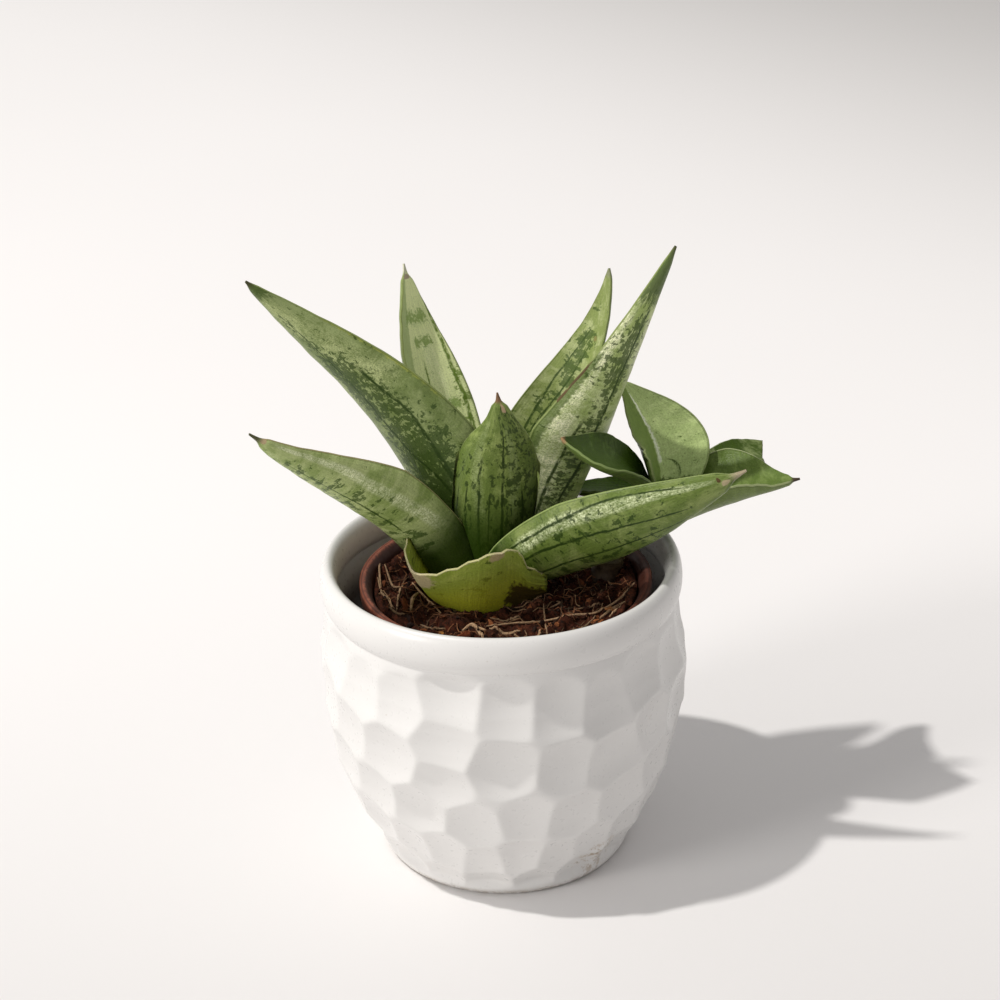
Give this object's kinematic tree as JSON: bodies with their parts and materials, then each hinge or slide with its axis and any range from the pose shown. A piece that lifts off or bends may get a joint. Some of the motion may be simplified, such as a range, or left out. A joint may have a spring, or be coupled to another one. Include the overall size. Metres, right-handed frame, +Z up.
{
  "type": "potted snake plant",
  "caption": "Young silver-leaved snake plant with a small offset, in a thin nursery pot that stands loose inside a dimpled white glazed pot.",
  "frame": {"origin": "middle of the outer pot's foot, on the surface that it stands on", "axes": "+Z up, -Y towards the viewer of the picture, +X to the right of the picture"},
  "size_m": [0.1137, 0.0798, 0.1346],
  "materials": {
    "glaze": "white satin glaze with hand-hammered dimples",
    "nursery_plastic": "thin terracotta-coloured moulded plastic, dusty",
    "potting_mix": "dark red-brown coir and bark with pale roots",
    "rhizome": "pale straw-coloured stem",
    "leaf": "silver-green leaf with dark lines and a pale margin",
    "offset_leaf": "mid-green waxy leaf with a pale margin"
  },
  "bodies": {
    "root": {"outer_pot": "glaze", "nursery_pot": "nursery_plastic", "potting_mix": "potting_mix", "crown_rhizome": "rhizome", "leaf_left_tall": "leaf", "leaf_left_low": "leaf", "leaf_back_left": "leaf", "leaf_back_right": "leaf", "leaf_right_tall": "leaf", "leaf_front_centre": "leaf", "leaf_right_low": "leaf", "leaf_front_torn": "leaf", "offset_leaf_inner": "offset_leaf", "offset_leaf_folded": "offset_leaf", "offset_leaf_cut": "offset_leaf", "offset_leaf_outer": "offset_leaf", "offset_leaf_left": "offset_leaf"}
  },
  "joints": []
}
